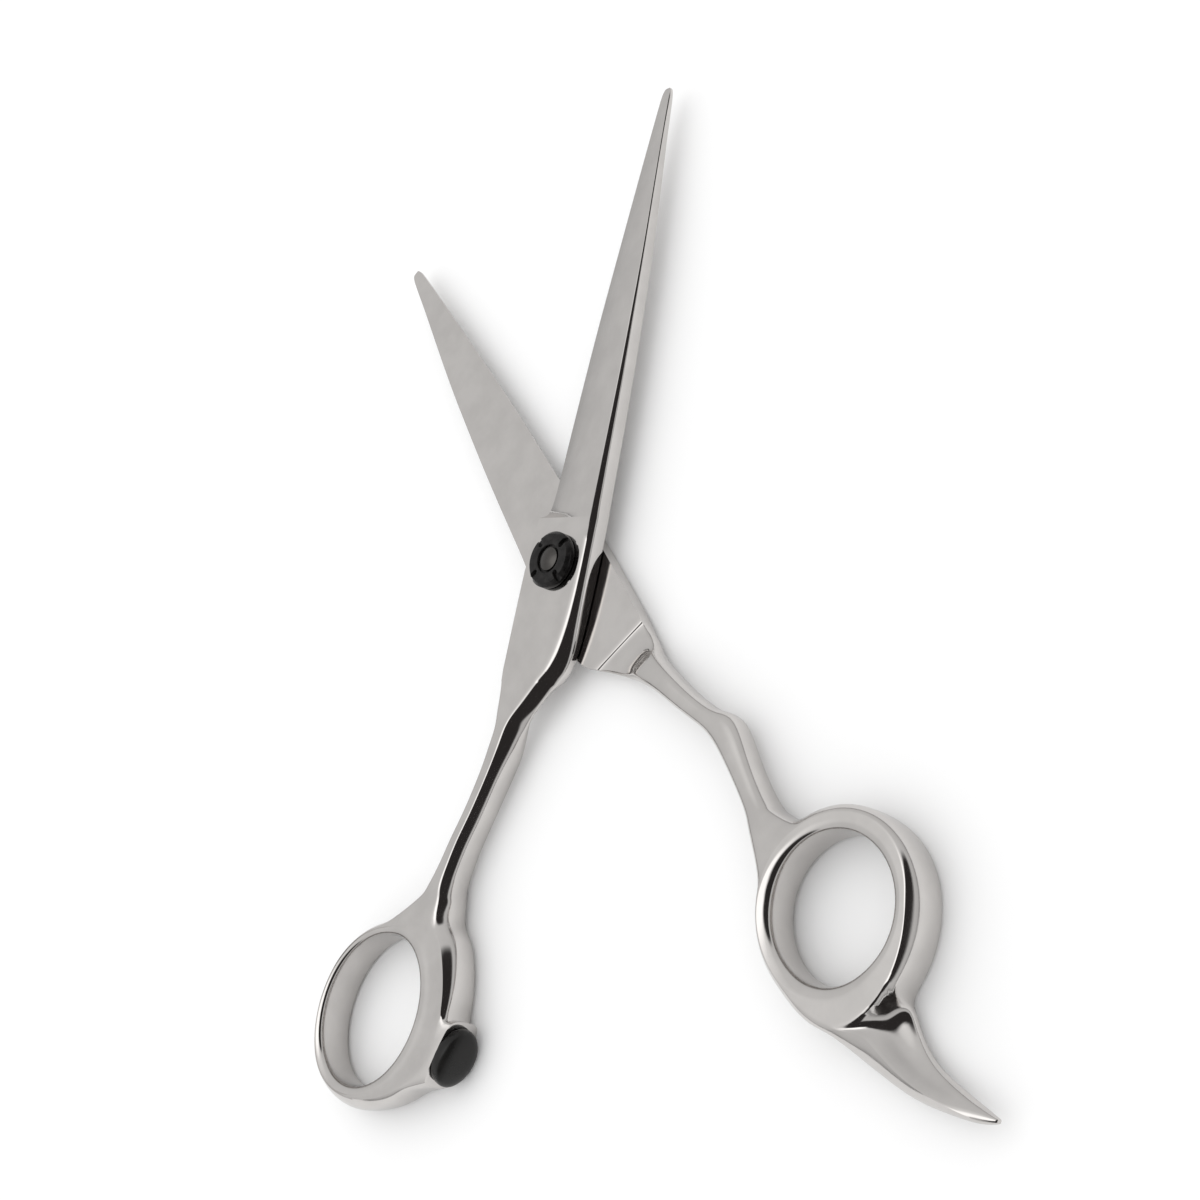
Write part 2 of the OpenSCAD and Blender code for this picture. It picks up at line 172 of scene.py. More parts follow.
# x and y of the middle, turn of the section, half width, underside, top, width of the facet
# beside the crest, 1 crested .. 0 blade
THUMB_SHANK = [
    (-11.5, -52.6, -3, 3.4, -2.9, 3.1, 1.5, 1),
    (-11.3, -50.4, -5, 2.4, -2.8, 2.9, 1.4, 1),
    (-10.6, -47.5, -9, 1.95, -2.7, 2.7, 1.3, 1),
    (-9.5, -43.5, -15, 1.8, -2.6, 2.6, 1.3, 1),
    (-7.9, -39, -19, 1.8, -2.5, 2.5, 1.3, 1),
    (-6.0, -33, -16, 1.9, -2.5, 2.6, 1.3, 1),
    (-4.8, -29, -11, 2.25, -2.3, 2.8, 1.6, 1),
    (-4.1, -26.2, -7, 2.4, -1.6, 2.85, 1.8, 0.95),
    (-3.5, -24, -4, 3.1, -0.4, 2.9, 2.0, 0.85),
    (-2.7, -22, -2, 3.9, 0.2, 2.9, 2.1, 0.6),
    (-1.9, -20, 0, 4.7, 0.35, 2.95, 2.1, 0.35),
    (-1.4, -18.8, 0, 5.2, 0.35, 3.0, 2.1, 0.15),
    (-1.25, -18.4, 0, 5.35, INNER, 3.0, 2.2, 0.1),
    (-0.7, WELD_Y, 0, 5.9, INNER, INNER + STOCK, 2.0, 0),
]
FINGER_SHANK = [
    (-8.8, -58.9, 0, 2.6, -2.8, 2.8, 1, 1),
    (-9.1, -56.3, 4, 2.0, -2.5, 2.5, 1, 1),
    (-9.6, -51, 3, 2.0, -2.3, 2.3, 1, 1),
    (-10.2, -45.8, -1, 2.4, -2.3, 2.3, 1, 1),
    (-10.0, -42.8, -4, 2.4, -2.2, 2.2, 1, 1),
    (-8.9, -40.4, -10, 1.7, -2.1, 2.1, 1, 1),
    (-7.1, -35.5, -14, 1.7, -2.1, 2.2, 1, 1),
    (-5.5, -30, -14, 1.95, -2.1, 2.4, 1.2, 1),
    (-4.1, -26, -8, 2.55, -1.5, 2.7, 1.6, 0.9),
    (-3.4, -24, -4, 3.2, -0.5, 2.8, 2.0, 0.8),
    (-2.7, -22, -2, 3.9, 0.2, 2.85, 2.0, 0.6),
    (-1.9, -20, 0, 4.7, 0.35, 2.95, 2.0, 0.35),
    (-1.4, -18.8, 0, 5.2, 0.35, 3.0, 2.2, 0.15),
    (-1.25, -18.4, 0, 5.35, INNER, 3.0, 2.2, 0.1),
    (-0.7, WELD_Y, 0, 5.9, INNER, INNER + STOCK, 2.0, 0),
]
# the curved finger rest below the finger ring, 1 rounded .. 0 ridged
TANG = [
    (-8.6, -91.2, 172, 4.6, -3.1, 2.9, 0),
    (-8.9, -95, 170, 3.3, -2.6, 2.8, 0),
    (-10.1, -99.3, 157, 2.4, -2.1, 2.4, 0.2),
    (-12.4, -103.5, 149, 1.65, -1.9, 1.9, 0.4),
    (-14.5, -106.8, 144, 1.0, -1.2, 1.2, 0.7),
    (-16, -108.6, 142, 0.3, -0.5, 0.5, 1),
]
# cross section as (across, up) from -1 to 1, anticlockwise from its sharp crest
RIDGED = [(-0.2, -1), (0, -0.7), (0.18, -0.38), (0.36, -0.08), (0.6, 0.1), (0.86, 0.25),
          (1, 0.5), (0.95, 0.8), (0.72, 0.97), (0.35, 1), (0, 1), (-0.35, 1), (-0.72, 0.92),
          (-0.95, 0.55), (-1, 0), (-0.72, -0.6)]
# ring thickness seen from above, every 20 degrees from -180
FINGER_WALLS = [3.7, 3.7, 3.7, 4.0, 4.6, 5.6, 6.0, 5.0, 3.8,
                3.4, 3.3, 3.4, 3.6, 3.7, 3.7, 3.7, 3.7, 3.7]
FINGER_CRESTS = [0.75, 0.65, 0.56, 0.66, 0.8, 0.88, 0.92, 0.8, 0.65,
                 0.62, 0.62, 0.62, 0.64, 0.65, 0.65, 0.7, 0.75, 0.78]
THUMB_WALLS = [2.1, 2.2, 2.4, 2.8, 3.3, 3.5, 3.6, 3.8, 4.6,
               5.8, 6.7, 7.2, 7.5, 8.0, 5.2, 2.4, 2.0, 2.0]
THUMB_CRESTS = [0.55, 0.5, 0.5, 0.5, 0.5, 0.5, 0.5, 0.65, 0.8,
                0.92, 0.92, 0.88, 0.8, 0.78, 0.78, 0.72, 0.6, 0.55]


# ---- curves and sections ----------------------------------------------------------------------

def bend(a, b, c, d, s):
    """Value at s (0..1) between b and c, bending smoothly through all four."""
    return 0.5 * (2 * b + (c - a) * s + (2 * a - 5 * b + 4 * c - d) * s * s
                  + (3 * b - a - 3 * c + d) * s ** 3)


def row(table, s):
    """Row s of a table, 0..len-1, the rows in between filled in smoothly."""
    last = len(table) - 1
    i = min(int(s), last - 1)
    rows = [table[max(i - 1, 0)], table[i], table[i + 1], table[min(i + 2, last)]]
    return [bend(*column, s - i) for column in zip(*rows)]


def lerp(a, b, s):
    """Value at s (0..1) on the way from a to b."""
    return a + (b - a) * s


def ramp(value, start, end):
    """0 before start, 1 after end."""
    return min(1, max(0, (value - start) / (end - start)))


def mixed(first, second, s):
    """Section at s (0..1) on the way from the first to the second."""
    return [(lerp(a[0], b[0], s), lerp(a[1], b[1], s)) for a, b in zip(first, second)]


def blade_section(left, right, low, high, ridge_in, corner, dip):
    """16 points (x, z) of a ground blade, anticlockwise from the lower left corner."""
    low = min(low, STOCK)
    high = min(high, STOCK)
    ridge = right - ridge_in
    top_left = left + corner
    bulge = 0.055 * (high - low) ** 2
    quarters = [0, 0.25, 0.5, 0.75, 1]
    points = [(lerp(left, right, t), INNER + 4 * dip * t * (1 - t)) for t in quarters]
    points += [(right, INNER + 0.2 * high),
               (right - 0.08 * ridge_in, INNER + max(high - 1.1 * ridge_in, 0.4 * high)),
               (right - 0.45 * ridge_in, INNER + high - 0.55 * ridge_in)]
    points += [(lerp(ridge, top_left, t), INNER + lerp(high, low, t) + 4 * bulge * t * (1 - t))
               for t in quarters]
    points += [(left + 0.25 * corner, INNER + 0.86 * low),
               (left, INNER + 0.6 * low),
               (left, INNER + 0.3 * low)]
    return points


def oval_section(half_width, low, high, power=0.75):
    """16 points (x, z) of a rounded box about the middle of its width."""
    points = []
    for i in range(SECTION_POINTS):
        angle = math.radians(225 + 360 / SECTION_POINTS * i)
        c, s = math.cos(angle), math.sin(angle)
        points.append((half_width * math.copysign(abs(c) ** power, c),
                       (high + low) / 2 + (high - low) / 2 * math.copysign(abs(s) ** power, s)))
    return points


def ridged_section(side, low, high):
    """The finger rest's section, with a sharp crest along its underside."""
    middle, half = (high + low) / 2, (high - low) / 2
    return [(side * across, middle + half * up) for across, up in RIDGED]


def shank_section(side, low, high, facet, crested):
    """Section between a rounded bar with a crest on top and the flat root of a blade."""
    ground = blade_section(-side, side, high - INNER, high - INNER, facet, 0.3, 0)
    flat = [(x, low) for x, _ in ground[:5]] + ground[5:]
    height = high - low
    ridge = side - facet
    bar = [(-0.72 * side, 0.08), (-0.4 * side, 0), (0, 0), (0.4 * side, 0), (0.72 * side, 0.08),
           (0.95 * side, 0.26)]
    bar = [(x, low + up * height) for x, up in bar]
    drop = min(0.75 * facet, 0.38 * height)
    bar += [(side, high - 1.9 * drop), (side - 0.35 * facet, high - drop)]
    bar += [(lerp(ridge, -0.72 * side, t), high - 0.04 * height * t) for t in (0, 0.3, 0.6, 0.8, 1)]
    bar += [(-0.94 * side, low + 0.8 * height), (-side, low + 0.5 * height),
            (-0.94 * side, low + 0.25 * height)]
    return mixed(flat, bar, crested)


def tang_section(side, low, high, rounded):
    """Section of the finger rest, rounded off towards its tip."""
    return mixed(ridged_section(side, low, high), oval_section(side, low, high, 0.9), rounded)


def arm(table, section):
    """Cross sections of an arm along its table, in place."""
    rings = []
    for i in range(STEPS_PER_ROW * (len(table) - 1) + 1):
        x, y, turn, *rest = row(table, i / STEPS_PER_ROW)
        c, s = math.cos(math.radians(turn)), math.sin(math.radians(turn))
        rings.append([Vector((x + across * c, y + across * s, up)) for across, up in section(*rest)])
    return rings


def blade():
    """Cross sections of the blade from the weld to the tip, in place."""
    rings = []
    for i in range(STEPS_PER_ROW * (len(BLADE) - 1) + 1):
        y, *rest = row(BLADE, i / STEPS_PER_ROW)
        rings.append([Vector((x, y, z)) for x, z in blade_section(*rest)])
    return rings


def ring_section(wall, crest, rim, dish):
    """Points (outwards, up) of a ring's section: inner fillet, dished top, crest, outer facet."""
    rim = min(rim, 0.9 * crest * wall)
    half = RING_HEIGHT / 2
    facet = (1 - crest) * wall
    points = [(0.25 * rim, -0.86 * half), (lerp(rim, wall, 0.05), -0.99 * half),
              (0.42 * wall, -half), (0.62 * wall, -half), (0.84 * wall, -0.97 * half),
              (0.97 * wall, -0.55 * half), (wall, max(half - 1.6 * facet, -0.1 * half)),
              (wall - 0.35 * facet, half - 0.75 * facet)]
    points += [(lerp(crest * wall, rim, t), half * (1 - 4 * dish * t * (1 - t)))
               for t in (0, 0.25, 0.5, 0.75, 1)]
    points += [(0.45 * rim, half - 0.2 * rim), (0.1 * rim, half - 0.6 * rim), (0, -0.3 * half)]
    return points


def turned_over(section):
    """The same section with its other side up."""
    points = [section[(3 * QUARTER - j) % SECTION_POINTS] for j in range(SECTION_POINTS)]
    return [(out, -up) for out, up in points]


def ring_sections(hole, walls, crests, start, lean, place, section_at):
    """Sections of a finger ring, clockwise from the angle start."""
    sections = []
    closed = list(zip(walls, crests))
    closed += closed[:2]
    for i in range(RING_STEPS):
        angle = start - 360 * i / RING_STEPS
        wall, crest = row(closed, len(walls) * ((angle + 540) % 360) / 360)
        c, s = math.cos(math.radians(angle)), math.sin(math.radians(angle))
        slope = math.atan2(hole[0] * s, hole[1] * c)
        section = []
        for out, up in section_at(wall, crest, c):
            point = Vector((hole[0] * c + out * math.cos(slope),
                            hole[1] * s + out * math.sin(slope), up))
            point.rotate(Matrix.Rotation(math.radians(lean), 3, "Z"))
            section.append(point + Vector((place[0], place[1], 0)))
        sections.append(section)
    return sections


def thumb_ring_section(wall, crest, _across):
    """The thumb ring shows its outer side, with the same fillet all round the hole."""
    return ring_section(wall, crest, min(0.45 * wall, 1.5), 0.06)


def finger_ring_section(wall, crest, across):
    """The finger ring shows its other side, softly rounded into the hole on the inner side."""
    return turned_over(ring_section(wall, crest, lerp(1.1, 2.2, max(0, across)), 0))


def pad_corner():
    """The short corner that carries the silencer."""
    half_length, half_height, squareness = 5.4, 3.2, 0.5
    angle = math.radians(PAD_ANGLE - 90)
    return [Vector((PAD_SEAT[0] + px * math.cos(angle), PAD_SEAT[1] + px * math.sin(angle), pz))
            for px, pz in oval_section(half_length, -half_height, half_height, squareness)]


# ---- building the steel skins -----------------------------------------------------------------

def joint_point(step, k):
    """(ring step, side) that point k of an arm joins, for an arm on four ring steps."""
    if k <= QUARTER:
        return (step + k) % RING_STEPS, QUARTER
    if k <= 2 * QUARTER:
        return (step + QUARTER) % RING_STEPS, k
    if k <= 3 * QUARTER:
        return (step + 3 * QUARTER - k) % RING_STEPS, 2 * QUARTER
    return step % RING_STEPS, 5 * QUARTER - k


def handle_cage(ring, arms):
    """Mesh cage of a ring with arms growing out of its outer side, and its loops of points.
    Each arm is (step, sections)."""
    mesh = bmesh.new()
    ring_verts = [[mesh.verts.new(p) for p in section] for section in ring]
    taken = {(step + k) % RING_STEPS for step, _ in arms for k in range(QUARTER)}
    for i in range(RING_STEPS):
        here, there = ring_verts[i], ring_verts[(i + 1) % RING_STEPS]
        for j in range(SECTION_POINTS):
            if QUARTER <= j < 2 * QUARTER and i in taken:
                continue
            up = (j + 1) % SECTION_POINTS
            mesh.faces.new((here[j], here[up], there[up], there[j]))
    arm_verts = []
    for step, sections in arms:
        root = [joint_point(step, k) for k in range(SECTION_POINTS)]
        loops = [[ring_verts[i][side] for i, side in root]]
        loops += [[mesh.verts.new(p) for p in section] for section in sections]
        for near, far in zip(loops, loops[1:]):
            for k in range(SECTION_POINTS):
                up = (k + 1) % SECTION_POINTS
                mesh.faces.new((near[k], far[k], far[up], near[up]))
        close_end(mesh, loops[-1])
        arm_verts.append(loops)
    bmesh.ops.recalc_face_normals(mesh, faces=mesh.faces)
    return mesh, ring_verts, arm_verts


def close_end(mesh, loop):
    """Closes a section's loop with a grid of quads, so that it rounds off evenly."""
    last = QUARTER
    grid = [[None] * (last + 1) for _ in range(last + 1)]
    for k in range(last + 1):
        grid[0][k] = loop[k]
        grid[last][k] = loop[3 * QUARTER - k]
        grid[k][last] = loop[QUARTER + k]
        grid[k][0] = loop[(SECTION_POINTS - k) % SECTION_POINTS]
    for i in range(1, last):
        for j in range(1, last):
            across = grid[i][0].co.lerp(grid[i][last].co, j / last)
            along = grid[0][j].co.lerp(grid[last][j].co, i / last)
            grid[i][j] = mesh.verts.new((across + along) / 2)
    for i in range(last):
        for j in range(last):
            mesh.faces.new((grid[i][j], grid[i][j + 1], grid[i + 1][j + 1], grid[i + 1][j]))


def crease_along(mesh, path, amount):
    """Creases the edges that join the points of a path one after the other."""
    layer = mesh.edges.layers.float.get("crease_edge") or mesh.edges.layers.float.new("crease_edge")
    for a, b in zip(path, path[1:]):
        edge = mesh.edges.get((a, b))
        if edge:
            edge[layer] = amount


def place_half(mesh, finger):
    """Moves a half frame cage in millimetres to its place in the row frame, in metres."""
    turn = OPEN_ANGLE / 2 if finger else -OPEN_ANGLE / 2
    place = Matrix.Translation((0, 0, FACE_Z)) @ Matrix.Rotation(turn, 4, "Z")
    if finger:
        place = place @ Matrix.Rotation(math.pi, 4, "Y")
    mesh.transform(place @ Matrix.Scale(MM, 4))


def new_object(name, mesh):
    """Object made from a bmesh, which is used up."""
    data = bpy.data.meshes.new(name)
    mesh.to_mesh(data)
    mesh.free()
    made = bpy.data.objects.new(name, data)
    bpy.context.scene.collection.objects.link(made)
    return made


def settle(piece):
    """Applies every modifier of a piece."""
    graph = bpy.context.evaluated_depsgraph_get()
    made = bpy.data.meshes.new_from_object(piece.evaluated_get(graph))
    piece.modifiers.clear()
    piece.data = made


def subdivide(piece):
    """Rounds a cage off into its smooth skin."""
    smooth = piece.modifiers.new("smooth", "SUBSURF")
    smooth.levels = SUBDIVISIONS
    smooth.render_levels = SUBDIVISIONS
    settle(piece)


def shade(piece, sharp_degrees=28):
    """Smooth shading with every edge over an angle left sharp."""
    mesh = bmesh.new()
    mesh.from_mesh(piece.data)
    for face in mesh.faces:
        face.smooth = True
    for edge in mesh.edges:
        edge.smooth = edge.calc_face_angle(0) < math.radians(sharp_degrees)
    mesh.to_mesh(piece.data)
    mesh.free()


def cutter(diameter, low, high, finger):
    """A round tool on the pivot axis between two heights of the half frame, millimetres."""
    mesh = bmesh.new()
    bmesh.ops.create_cone(mesh, cap_ends=True, segments=96, radius1=diameter / 2,
                          radius2=diameter / 2, depth=high - low)
    bmesh.ops.translate(mesh, verts=mesh.verts, vec=(0, 0, (low + high) / 2))
    place_half(mesh, finger)
    return new_object("cutter", mesh)


def cut(piece, tools):
    """Cuts the tools out of a piece and removes them."""
    for tool in tools:
        step = piece.modifiers.new("cut", "BOOLEAN")
        step.operation = "DIFFERENCE"
        step.solver = "EXACT"
        step.object = tool
    settle(piece)
    for tool in tools:
        bpy.data.objects.remove(tool)


def split_at_weld(mesh, keep_blade):
    """Keeps the blade or the handle of a half, closed with a flat face at the weld."""
    normal = Vector((0, 1, 0)) if keep_blade else Vector((0, -1, 0))
    cut_at = bmesh.ops.bisect_plane(
        mesh, geom=mesh.verts[:] + mesh.edges[:] + mesh.faces[:], dist=1e-4,
        plane_co=(0, WELD_Y, 0), plane_no=normal, clear_inner=True)
    rim = [e for e in cut_at["geom_cut"] if isinstance(e, bmesh.types.BMEdge)]
    bmesh.ops.contextual_create(mesh, geom=rim)


def crease_half(mesh, loops):
    """Crisp edges on the blade that fade out along the shank, and a crest all along."""
    for near, far in zip(loops, loops[1:]):
        y = near[0].co.y
        for line in EDGES:
            crease_along(mesh, (near[line], far[line]), ramp(y, *EDGE_FADE))
        crest_amount = lerp(*CREST_CREASES, ramp(y, *CREST_FADE))
        crease_along(mesh, (near[CREST], far[CREST]), crest_amount)
        if abs(near[CREST].co.y - GROUND_Y) < 0.1:
            crease_along(mesh, near[CREST:3 * QUARTER + 1], GROUND_START_CREASE)


def half_meshes(cage):
    """Blade mesh and handle mesh of a half, subdivided together so that the skin runs through."""
    whole = new_object("whole", cage)
    subdivide(whole)
    parts = []
    for keep_blade in (True, False):
        part = bmesh.new()
        part.from_mesh(whole.data)
        split_at_weld(part, keep_blade)
        parts.append(part)
    bpy.data.objects.remove(whole)
    return parts


def steel_pieces(side, cage, finger, holes):
    """Blade piece and handle piece of a half. A hole is (diameter, low, high)."""
    pieces = []
    for name, mesh in zip((side + "_blade_steel", side + "_handle_steel"), half_meshes(cage)):
        place_half(mesh, finger)
        pieces.append(new_object(name, mesh))
    cut(pieces[0], [cutter(*hole, finger) for hole in holes])
    return pieces


def thumb_half():
    """Blade and handle of the thumb half."""
    ring = ring_sections(THUMB_HOLE, THUMB_WALLS, THUMB_CRESTS, THUMB_RING_START, THUMB_LEAN,
                         THUMB_RING, thumb_ring_section)
    shank = arm(THUMB_SHANK, shank_section) + blade()[1:]
    mesh, ring_verts, (main, corner) = handle_cage(
        ring, [(SHANK_STEP, shank), (PAD_CORNER_STEP, [pad_corner()])])
    crease_half(mesh, main)
    before_corner = range(SHANK_STEP + QUARTER, PAD_CORNER_STEP + 1)
    after_corner = range(PAD_CORNER_STEP + QUARTER, RING_STEPS // 2 + 1)
    crest = [ring_verts[i][CREST] for i in before_corner]
    crest += [corner[1][k] for k in range(3 * QUARTER, CREST - 1, -1)]
    crest += [ring_verts[i][CREST] for i in after_corner]
    crease_along(mesh, crest, THUMB_RING_CREASE)
    crease_along(mesh, corner[1] + corner[1][:1], PAD_CORNER_CREASE)
    bush_hole = (BUSH_DIAMETER, -STOCK, 2 * STOCK)
    pocket = (POCKET_DIAMETER, POCKET_FLOOR, 2 * STOCK)
    return steel_pieces("thumb", mesh, False, [bush_hole, pocket])


def finger_half():
    """Blade and handle of the finger half."""
    ring = ring_sections(FINGER_HOLE, FINGER_WALLS, FINGER_CRESTS, FINGER_RING_START, 0,
                         FINGER_RING, finger_ring_section)
    shank = arm(FINGER_SHANK, shank_section) + blade()[1:]
    mesh, ring_verts, (main, tang) = handle_cage(
        ring, [(SHANK_STEP, shank), (TANG_STEP, arm(TANG, tang_section))])
    crease_half(mesh, main)
    # the ring's section is turned over, which brings its crest to the end of the first quarter
    crest = [ring_verts[i][QUARTER] for i in range(FINGER_CREST_STEP, TANG_STEP - 1, -1)]
    crease_along(mesh, crest, FINGER_RING_CREASE)
    crease_along(mesh, [loop[0] for loop in tang[:-2]], TANG_CREASE)
    bolt_hole = (BOLT_DIAMETER, -STOCK, 2 * STOCK)
    head_seat = (HEAD_DIAMETER, HEAD_SEAT, 2 * STOCK)
    washer_seat = (WASHER_DIAMETER, -STOCK, INNER + WASHER_SUNK)
    return steel_pieces("finger", mesh, True, [bolt_hole, head_seat, washer_seat])


# ---- nut and pad --------------------------------------------------------------------------------

def lathe(profile, segments=96):
    """Closed solid of revolution about Z. The profile is (radius, height), in metres, and closed."""
    mesh = bmesh.new()
    loops = []
    for i in range(segments):
        angle = 2 * math.pi * i / segments
        loops.append([mesh.verts.new((r * math.cos(angle), r * math.sin(angle), z))
                      for r, z in profile])
    for i in range(segments):
        here, there = loops[i], loops[(i + 1) % segments]
        for j in range(len(profile)):
            up = (j + 1) % len(profile)
            mesh.faces.new((here[j], there[j], there[up], here[up]))
    bmesh.ops.recalc_face_normals(mesh, faces=mesh.faces)
    return mesh


def slot_tool(outer, floor_z, top_z, angle):
    """Tool for one key slot, open at the nut's rim and round at its inner end."""
    width = SLOT_WIDTH * MM
    end = outer - SLOT_DEPTH * MM
    points = [(outer + width, -width / 2)]
    points += [(end - width / 2 * math.sin(t), width / 2 * -math.cos(t))
               for t in (math.pi * i / 12 for i in range(13))]
    points += [(outer + width, width / 2)]
    slot = bmesh.new()
    base = slot.faces.new([slot.verts.new((x, y, floor_z)) for x, y in points])
    top = bmesh.ops.extrude_face_region(slot, geom=[base])
    bmesh.ops.translate(slot, vec=(0, 0, top_z - floor_z + width),
                        verts=[v for v in top["geom"] if isinstance(v, bmesh.types.BMVert)])
    bmesh.ops.recalc_face_normals(slot, faces=slot.faces)
    slot.transform(Matrix.Rotation(math.radians(angle), 4, "Z"))
    return new_object("slot", slot)


def nut_piece():
    """Flat round nut with a chamfer, four key slots in its face and a recess round the bolt end."""
    outer = NUT_HIGH[0]
    low, high = NUT_LOW[2], NUT_HIGH[2]
    bore = NUT_BORE_RADIUS * MM
    recess = NUT_RECESS_RADIUS * MM
    recess_floor = high - NUT_RECESS_DEPTH * MM
    chamfer = NUT_CHAMFER * MM
    edge = NUT_RECESS_EDGE * MM
    body = lathe([(bore, low), (outer, low), (outer, high - chamfer), (outer - chamfer, high),
                  (recess + edge, high), (recess, high - edge),
                  (recess, recess_floor), (bore, recess_floor)])
    piece = new_object("tension_nut_black", body)
    floor_z = lerp(low, high, SLOT_FLOOR)
    cut(piece, [slot_tool(outer, floor_z, high, angle) for angle in SLOT_ANGLES])
    edges = piece.modifiers.new("edges", "BEVEL")
    edges.width = NUT_EDGE * MM
    edges.segments = 2
    edges.limit_method = "ANGLE"
    edges.angle_limit = math.radians(40)
    settle(piece)
    return piece


def pad_piece():
    """Oval rubber dome on the corner of the thumb ring."""
    mesh = bmesh.new()
    count = 32
    straight = 0.4 * PAD_HEIGHT
    rings = [(0.97, 0), (1, 0.15), (1, straight)]
    for degrees in (15, 30, 45, 60, 75):
        angle = math.radians(degrees)
        rings.append((math.cos(angle) ** 0.8,
                      straight + (PAD_HEIGHT - straight) * math.sin(angle)))
    loops = []
    turns = [2 * math.pi * i / count for i in range(count)]
    for scale, lift in rings:
        loops.append([mesh.verts.new((lift, scale * PAD_LENGTH / 2 * math.cos(turn),
                                      scale * PAD_WIDTH / 2 * math.sin(turn)))
                      for turn in turns])
    for near, far in zip(loops, loops[1:]):
        for i in range(count):
            mesh.faces.new((near[i], near[(i + 1) % count], far[(i + 1) % count], far[i]))
    for loop, lift in ((loops[0], 0), (loops[-1], PAD_HEIGHT)):
        top = mesh.verts.new((lift, 0, 0))
        for i in range(count):
            mesh.faces.new((loop[i], loop[(i + 1) % count], top))
    bmesh.ops.recalc_face_normals(mesh, faces=mesh.faces)
    mesh.transform(Matrix.Translation((PAD_SEAT[0], PAD_SEAT[1], 0))
                   @ Matrix.Rotation(math.radians(PAD_ANGLE), 4, "Z"))
    place_half(mesh, False)
    piece = new_object("silencer_pad_rubber", mesh)
    subdivide(piece)
    return piece


# ---- materials ----------------------------------------------------------------------------------

# sockets of a mix node that mixes colours
MIX_A, MIX_B, MIX_RESULT = 6, 7, 2


class Tree:
    """Short names for building one node tree."""

    def __init__(self, tree):
        self.tree = tree

    def add(self, kind, **inputs):
        """New node, with the given values on its inputs."""
        made = self.tree.nodes.new(kind)
        for name, value in inputs.items():
            made.inputs[name.replace("_", " ")].default_value = value
        return made

    def link(self, a, b):
        """Joins output a to input b."""
        self.tree.links.new(a, b)

    def mix(self, factor, a, b):
        """a where the factor is 0, b where it is 1. Each is a colour or another node's output."""
        made = self.add("ShaderNodeMix")
        made.data_type = "RGBA"
        self.link(factor, made.inputs["Factor"])
        for socket, value in ((made.inputs[MIX_A], a), (made.inputs[MIX_B], b)):
            if isinstance(value, tuple):
                socket.default_value = (*value, 1)
            else:
                self.link(value, socket)
        return made.outputs[MIX_RESULT]

    def combine(self, operation, a, b):
        """Result of a maths operation on two outputs."""
        made = self.add("ShaderNodeMath")
        made.operation = operation
        self.link(a, made.inputs[0])
        self.link(b, made.inputs[1])
        return made.outputs[0]

    def smooth_step(self, value, start, end):
        """0 before start, 1 after end, with a smooth rise in between."""
        made = self.add("ShaderNodeMapRange")
        made.interpolation_type = "SMOOTHSTEP"
        made.inputs["From Min"].default_value = start
        made.inputs["From Max"].default_value = end
        self.link(value, made.inputs["Value"])
        return made.outputs["Result"]

    def glossy_ray(self):
        """1 for what is seen in a reflection, else 0."""
        return self.add("ShaderNodeLightPath").outputs["Is Glossy Ray"]


class Nodes(Tree):
    """Short names for building one material."""

    def __init__(self, name):
        self.material = bpy.data.materials.new(name)
        self.material.use_nodes = True
        super().__init__(self.material.node_tree)
        self.shader = self.tree.nodes["Principled BSDF"]
        self.place = self.add("ShaderNodeTexCoord").outputs["Object"]

    def stretched(self, scale, turn=0.0):
        """Object coordinates turned about Z, then scaled."""
        made = self.add("ShaderNodeMapping")
        made.vector_type = "TEXTURE"
        made.inputs["Rotation"].default_value = (0, 0, turn)
        made.inputs["Scale"].default_value = [1 / s for s in scale]
        self.link(self.place, made.inputs["Vector"])
        return made.outputs["Vector"]

    def noise(self, scale, turn=0.0, detail=3.0):
        """Soft noise, with so many spots in a metre along x, y and z."""
        made = self.add("ShaderNodeTexNoise", Scale=1.0, Detail=detail)
        self.link(self.stretched(scale, turn), made.inputs["Vector"])
        return made.outputs["Fac"]

    def span(self, value, low, high, start=0.0, end=1.0):
        """Value from start..end mapped to low..high."""
        made = self.add("ShaderNodeMapRange")
        for name, number in zip(("From Min", "From Max", "To Min", "To Max"),
                                (start, end, low, high)):
            made.inputs[name].default_value = number
        self.link(value, made.inputs["Value"])
        return made.outputs["Result"]

    def bump(self, height, strength, distance):
        """Fine relief on the shader. The distance is in metres."""
        made = self.add("ShaderNodeBump", Strength=strength, Distance=distance)
        self.link(height, made.inputs["Height"])
        self.link(made.outputs["Normal"], self.shader.inputs["Normal"])


def steel(name, turn, base=(0.70, 0.675, 0.655), roughness=(0.07, 0.13)):
    """Polished stainless steel, with a faint haze and fine scratches along the part."""
    n = Nodes(name)
    n.shader.inputs["Metallic"].default_value = 1
    haze = n.noise((220, 220, 220), turn)
    darker = tuple(0.93 * c for c in base)
    n.link(n.mix(n.span(haze, 0, 1, 0.35, 0.65), darker, base), n.shader.inputs["Base Color"])
    n.link(n.span(haze, *roughness, 0.3, 0.7), n.shader.inputs["Roughness"])
    scratches = n.noise((9000, 500, 9000), turn, 2.0)
    n.bump(scratches, 0.12, 0.00001)
    return n.material


def dark_coat(name):
    """Satin black coating with worn, slightly lighter patches."""
    n = Nodes(name)
    wear = n.noise((900, 900, 900))
    n.link(n.mix(n.span(wear, 0, 1, 0.45, 0.75), (0.012, 0.011, 0.011), (0.03, 0.028, 0.027)),
           n.shader.inputs["Base Color"])
    n.link(n.span(wear, 0.22, 0.38, 0.3, 0.7), n.shader.inputs["Roughness"])
    n.shader.inputs["Metallic"].default_value = 0.6
    n.bump(n.noise((6000, 6000, 6000)), 0.1, 0.00001)
    return n.material


